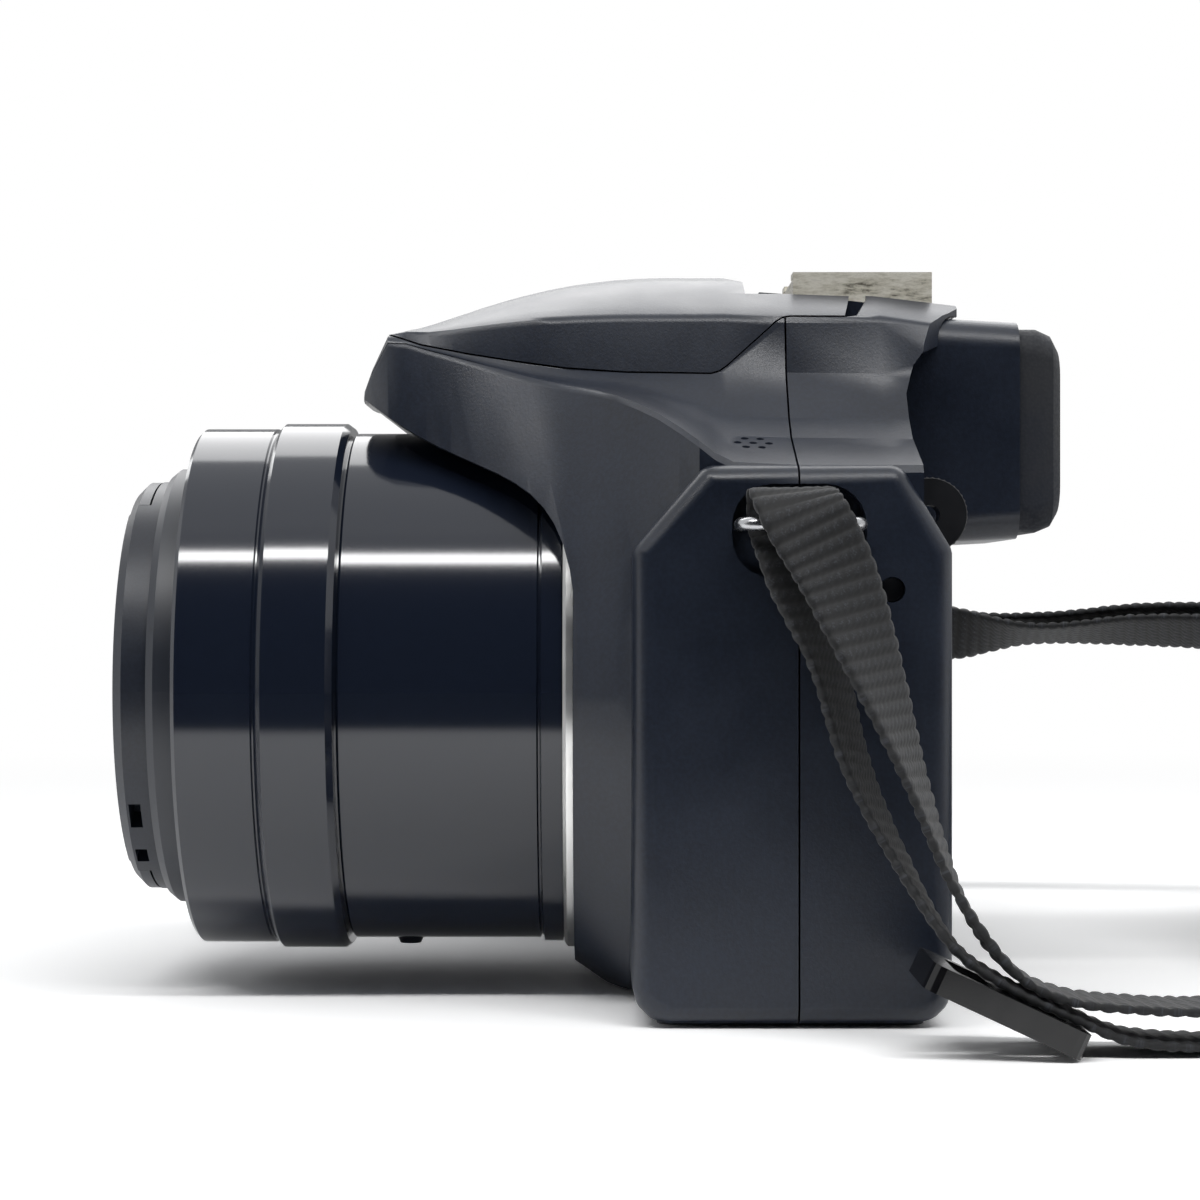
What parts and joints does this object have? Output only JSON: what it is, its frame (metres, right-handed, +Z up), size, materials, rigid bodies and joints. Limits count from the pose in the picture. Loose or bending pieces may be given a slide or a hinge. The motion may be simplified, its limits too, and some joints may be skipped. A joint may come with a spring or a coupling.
{
  "type": "bridge camera",
  "caption": "Bridge camera with a long retracting zoom lens in a fixed barrel, pop-up flash, eye-level finder, deep right-hand grip, hot shoe, tripod socket and coiled neck strap.",
  "frame": {"origin": "mouth of the tripod socket, on the flat base and under the lens axis", "axes": "+X to the user's left, +Y to the rear (eyepiece side), +Z up; the lens looks along -Y"},
  "size_m": [0.1635, 0.2339, 0.0932],
  "materials": {
    "case_plastic": "fine spark-eroded grain",
    "lid_plastic": "fine spark-eroded grain",
    "grip_rubber": "pebbled leatherette",
    "eyecup_rubber": "matte",
    "barrel_gloss": "polished black lacquer",
    "barrel_satin": "satin",
    "cap_plastic": "satin grain",
    "chrome_trim": "mirror",
    "shoe_steel": "worn",
    "steel": "satin",
    "screw_steel": "black oxide",
    "frame_plastic": "moulded",
    "control_plastic": "satin",
    "shutter_metal": "dark anodised",
    "optical_glass": "coated",
    "display_glass": "polished window",
    "display_cell": "dark cell",
    "circuit_board": "solder mask",
    "sensor_cell": "iridescent cell",
    "gear_acetal": "acetal",
    "pinion_brass": "machined",
    "flash_diffuser": "clear ribbed",
    "flash_mirror": "vapour coated",
    "battery_case": "moulded",
    "card_case": "moulded",
    "webbing": "ribbed nylon",
    "band_fabric": "woven polyester",
    "adjuster_nylon": "moulded nylon"
  },
  "bodies": {
    "camera_body": {"front_cover": "case_plastic", "rear_cover": "case_plastic", "top_cover": "case_plastic", "base_plate": "case_plastic", "grip_skin": "grip_rubber", "thumb_rest": "grip_rubber", "chassis": "frame_plastic", "tripod_socket": "steel", "hot_shoe": "shoe_steel", "viewfinder_housing": "case_plastic", "eyecup": "eyecup_rubber", "eyepiece_lens": "optical_glass", "viewfinder_display": "display_cell", "monitor_panel": "display_cell", "monitor_window": "display_glass", "main_board": "circuit_board", "image_sensor": "sensor_cell", "rear_lens_group": "optical_glass", "lens_mount_ring": "chrome_trim", "fixed_barrel": "barrel_gloss", "barrel_ring": "barrel_gloss", "zoom_motor": "steel", "strap_lugs": "steel", "case_screws": "screw_steel", "flash_hinge_pin": "steel", "side_sockets": "steel", "battery": "battery_case", "memory_card": "card_case", "strap_near": "webbing", "strap_far": "webbing", "neck_band": "band_fabric", "strap_adjusters": "adjuster_nylon"},
    "zoom_stage_one": {"zoom_barrel_outer": "barrel_satin", "zoom_lens_group": "optical_glass"},
    "zoom_stage_two": {"zoom_barrel_inner": "barrel_satin", "front_lens": "optical_glass", "front_ring": "barrel_satin"},
    "zoom_drive": {"drive_ring": "gear_acetal"},
    "motor_pinion": {"zoom_pinion": "pinion_brass"},
    "front_cap": {"lens_cap": "cap_plastic"},
    "upper_tab": {"cap_tab_upper": "cap_plastic"},
    "lower_tab": {"cap_tab_lower": "cap_plastic"},
    "flash_unit": {"flash_lid": "lid_plastic", "flash_reflector": "flash_mirror", "flash_window": "flash_diffuser"},
    "flash_catch": {"flash_release": "control_plastic"},
    "shutter": {"shutter_button": "shutter_metal"},
    "zoom_rocker": {"zoom_lever": "control_plastic"},
    "mode_wheel": {"mode_dial": "control_plastic"},
    "power": {"power_switch": "control_plastic"},
    "movie": {"movie_button": "control_plastic"},
    "thumb_wheel": {"rear_dial": "control_plastic"},
    "finder_push": {"finder_key": "control_plastic"},
    "playback_push": {"playback_key": "control_plastic"},
    "cursor": {"cursor_ring": "control_plastic"},
    "set_push": {"set_key": "control_plastic"},
    "dioptre_wheel": {"dioptre_dial": "control_plastic"},
    "base_door": {"battery_door": "case_plastic"},
    "door_lock": {"battery_latch": "control_plastic"},
    "socket_door": {"port_cover": "case_plastic"}
  },
  "joints": [
    {"name": "zoom_extend", "type": "slide", "parent": "camera_body", "child": "zoom_stage_one", "axis": [0, -1, 0], "range_m": [0, 0.028]},
    {"name": "zoom_extend_inner", "type": "slide", "parent": "zoom_stage_one", "child": "zoom_stage_two", "axis": [0, -1, 0], "range_m": [0, 0.028]},
    {"name": "zoom_drive_turn", "type": "hinge", "parent": "camera_body", "child": "zoom_drive", "pos_m": [0, -0.0037, 0.039], "axis": [0, 1, 0], "range_deg": [0, 60]},
    {"name": "zoom_pinion_turn", "type": "hinge", "parent": "camera_body", "child": "motor_pinion", "pos_m": [-0.03303, -0.0037, 0.02698], "axis": [0, 1, 0], "range_deg": [-465, 0]},
    {"name": "cap_pull", "type": "slide", "parent": "zoom_stage_two", "child": "front_cap", "axis": [0, -1, 0], "range_m": [0, 0.04]},
    {"name": "upper_tab_pinch", "type": "slide", "parent": "front_cap", "child": "upper_tab", "axis": [0, 0, -1], "range_m": [0, 0.0016], "stiffness_N_per_m": 1900},
    {"name": "lower_tab_pinch", "type": "slide", "parent": "front_cap", "child": "lower_tab", "axis": [0, 0, 1], "range_m": [0, 0.0016], "stiffness_N_per_m": 1900},
    {"name": "flash_lift", "type": "hinge", "parent": "camera_body", "child": "flash_unit", "pos_m": [0, 0.018, 0.0865], "axis": [-1, 0, 0], "range_deg": [0, 40]},
    {"name": "flash_release_slide", "type": "slide", "parent": "camera_body", "child": "flash_catch", "axis": [1, 0, 0], "range_m": [0, 0.0024], "stiffness_N_per_m": 800},
    {"name": "shutter_press", "type": "slide", "parent": "camera_body", "child": "shutter", "axis": [0, 0, -1], "range_m": [0, 0.0012], "stiffness_N_per_m": 1200},
    {"name": "zoom_lever_turn", "type": "hinge", "parent": "camera_body", "child": "zoom_rocker", "pos_m": [-0.0686, -0.019, 0.0644], "axis": [0, 0, 1], "range_deg": [-25, 25], "stiffness_Nm_per_rad": 0.02},
    {"name": "mode_dial_turn", "type": "hinge", "parent": "camera_body", "child": "mode_wheel", "pos_m": [-0.047, 0.011, 0.066], "axis": [0, 0, 1], "continuous": true},
    {"name": "power_turn", "type": "hinge", "parent": "camera_body", "child": "power", "pos_m": [-0.068, 0.014, 0.0665], "axis": [0, 0, 1], "range_deg": [0, 30]},
    {"name": "movie_press", "type": "slide", "parent": "camera_body", "child": "movie", "axis": [0, 0, -1], "range_m": [0, 0.0005], "stiffness_N_per_m": 3000},
    {"name": "rear_dial_turn", "type": "hinge", "parent": "camera_body", "child": "thumb_wheel", "pos_m": [-0.064, 0.0215, 0.051], "axis": [0, 0, 1], "continuous": true},
    {"name": "finder_key_press", "type": "slide", "parent": "camera_body", "child": "finder_push", "axis": [0, -1, 0], "range_m": [0, 0.0005], "stiffness_N_per_m": 3000},
    {"name": "playback_key_press", "type": "slide", "parent": "camera_body", "child": "playback_push", "axis": [0, -1, 0], "range_m": [0, 0.0005], "stiffness_N_per_m": 3000},
    {"name": "cursor_rock", "type": "hinge", "parent": "camera_body", "child": "cursor", "pos_m": [-0.054, 0.0272, 0.024], "axis": [1, 0, 0], "range_deg": [-3, 3], "stiffness_Nm_per_rad": 0.2},
    {"name": "set_key_press", "type": "slide", "parent": "camera_body", "child": "set_push", "axis": [0, -1, 0], "range_m": [0, 0.0005], "stiffness_N_per_m": 3000},
    {"name": "dioptre_turn", "type": "hinge", "parent": "camera_body", "child": "dioptre_wheel", "pos_m": [0.0263, 0.0274, 0.0608], "axis": [1, 0, 0], "range_deg": [-120, 120]},
    {"name": "battery_door_swing", "type": "hinge", "parent": "camera_body", "child": "base_door", "pos_m": [-0.068, 0.013, 0.001], "axis": [1, 0, 0], "range_deg": [0, 90]},
    {"name": "battery_latch_slide", "type": "slide", "parent": "base_door", "child": "door_lock", "axis": [0, 1, 0], "range_m": [0, 0.0025]},
    {"name": "port_cover_swing", "type": "hinge", "parent": "camera_body", "child": "socket_door", "pos_m": [-0.0824, 0.014, 0.026], "axis": [0, 0, 1], "range_deg": [0, 100]}
  ],
  "couplings": [
    {"joint": "zoom_extend_inner", "follows": "zoom_extend", "ratio": 1},
    {"joint": "zoom_drive_turn", "follows": "zoom_extend", "rad_per_m": 37.3},
    {"joint": "zoom_pinion_turn", "follows": "zoom_extend", "rad_per_m": -289.07}
  ]
}
